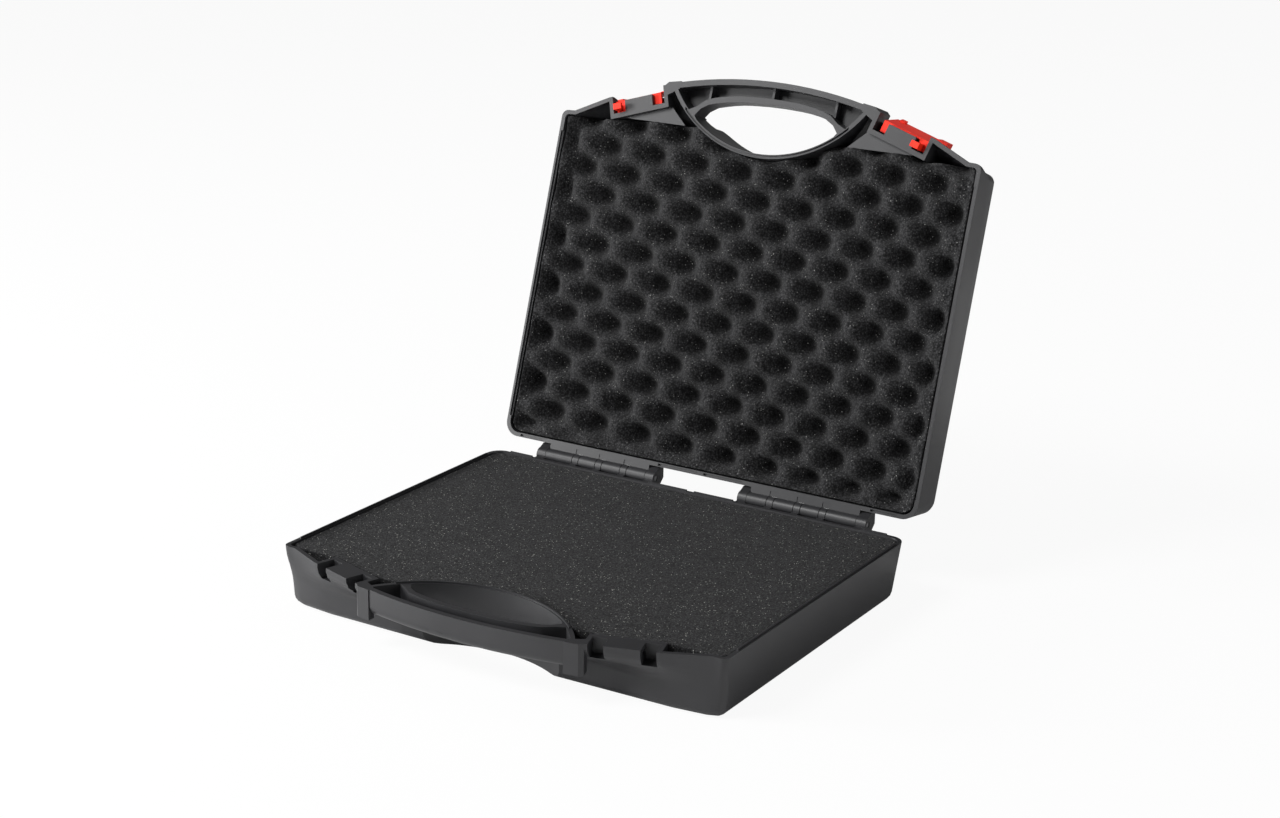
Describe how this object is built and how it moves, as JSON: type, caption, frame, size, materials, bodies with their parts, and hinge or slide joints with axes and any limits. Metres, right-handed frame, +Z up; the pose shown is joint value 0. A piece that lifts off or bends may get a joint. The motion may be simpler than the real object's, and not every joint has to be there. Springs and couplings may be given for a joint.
{
  "type": "otoscope carry case",
  "caption": "Moulded carry case with a hand opening, pinned hinges, two slide latches and a foam lining in each half.",
  "frame": {"origin": "centre of the floor of the lower half, on the plane it stands on, halfway between the front corner line and the rear rim edge", "axes": "+X to the right as seen from the handle side, +Y back towards the hinges, +Z up"},
  "size_m": [0.34, 0.4124, 0.3223],
  "materials": {
    "case_plastic": "satin moulded polypropylene",
    "latch_plastic": "satin moulded",
    "pin_steel": "plain wire",
    "wavy_foam": "open-cell foam, egg-crate cut",
    "flat_foam": "open-cell foam, flat cut"
  },
  "bodies": {
    "base": {"base_shell": "case_plastic", "base_foam": "flat_foam", "hinge_pin_left": "pin_steel", "hinge_pin_right": "pin_steel"},
    "lid": {"lid_shell": "case_plastic", "lid_foam": "wavy_foam"},
    "latch_left": {"latch_left": "latch_plastic"},
    "latch_right": {"latch_right": "latch_plastic"}
  },
  "joints": [
    {"name": "lid_hinge", "type": "hinge", "parent": "base", "child": "lid", "pos_m": [0, 0.13175, 0.04194], "axis": [1, 0, 0], "range_deg": [0, 108]},
    {"name": "latch_left_slide", "type": "slide", "parent": "lid", "child": "latch_left", "axis": [0.9548, 0.0919, 0.2828], "range_m": [0, 0.0036]},
    {"name": "latch_right_slide", "type": "slide", "parent": "lid", "child": "latch_right", "axis": [-0.9548, 0.0919, 0.2828], "range_m": [0, 0.0036]}
  ]
}
